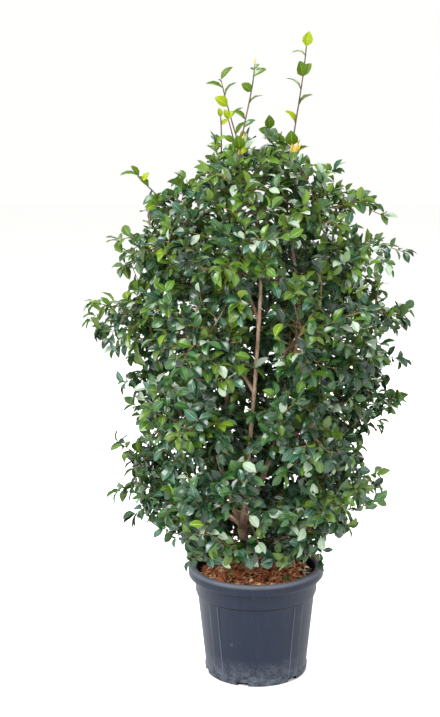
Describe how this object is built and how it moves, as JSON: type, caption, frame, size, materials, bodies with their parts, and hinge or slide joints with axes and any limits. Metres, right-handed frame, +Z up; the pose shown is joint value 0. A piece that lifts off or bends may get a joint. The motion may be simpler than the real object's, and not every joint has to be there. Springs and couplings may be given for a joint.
{
  "type": "potted camellia shrub",
  "caption": "Upright evergreen camellia shrub with glossy leaves and long top shoots, growing in a ribbed round plastic pot filled with bark.",
  "frame": {"origin": "centre of the pot's flat underside", "axes": "+Z up; +X to the right and -Y to the front of the plant"},
  "size_m": [0.8019, 0.7335, 1.5521],
  "materials": {
    "pot": "dusty moulded polypropylene, slate grey",
    "potting_bark": "loose moist bark chips, red-brown",
    "bark": "smooth thin bark, light grey-brown",
    "foliage": "glossy leathery evergreen leaves"
  },
  "bodies": {
    "root": {"bough_low_1": "bark", "bough_low_2": "bark", "bough_low_3": "bark", "bough_low_4": "bark", "bough_low_5": "bark", "bough_middle_1": "bark", "bough_middle_2": "bark", "bough_middle_3": "bark", "bough_middle_4": "bark", "bough_middle_5": "bark", "bough_shoulder_1": "bark", "bough_shoulder_2": "bark", "bough_shoulder_3": "bark", "bough_shoulder_4": "bark", "bough_skirt_1": "bark", "bough_skirt_2": "bark", "bough_skirt_3": "bark", "bough_wide_1": "bark", "bough_wide_2": "bark", "bough_wide_3": "bark", "bough_wide_4": "bark", "bough_wide_5": "bark", "bough_wide_6": "bark", "foliage_low_1": "foliage", "foliage_low_2": "foliage", "foliage_low_3": "foliage", "foliage_low_4": "foliage", "foliage_low_5": "foliage", "foliage_middle_1": "foliage", "foliage_middle_2": "foliage", "foliage_middle_3": "foliage", "foliage_middle_4": "foliage", "foliage_middle_5": "foliage", "foliage_shoulder_1": "foliage", "foliage_shoulder_2": "foliage", "foliage_shoulder_3": "foliage", "foliage_shoulder_4": "foliage", "foliage_skirt_1": "foliage", "foliage_skirt_2": "foliage", "foliage_skirt_3": "foliage", "foliage_top_back_left": "foliage", "foliage_top_back_right": "foliage", "foliage_top_front": "foliage", "foliage_top_left": "foliage", "foliage_top_right": "foliage", "foliage_wide_1": "foliage", "foliage_wide_2": "foliage", "foliage_wide_3": "foliage", "foliage_wide_4": "foliage", "foliage_wide_5": "foliage", "foliage_wide_6": "foliage", "pot": "pot", "potting_bark": "potting_bark", "stem_back_left": "bark", "stem_back_right": "bark", "stem_front": "bark", "stem_left": "bark", "stem_right": "bark", "trunk": "bark"}
  },
  "joints": []
}
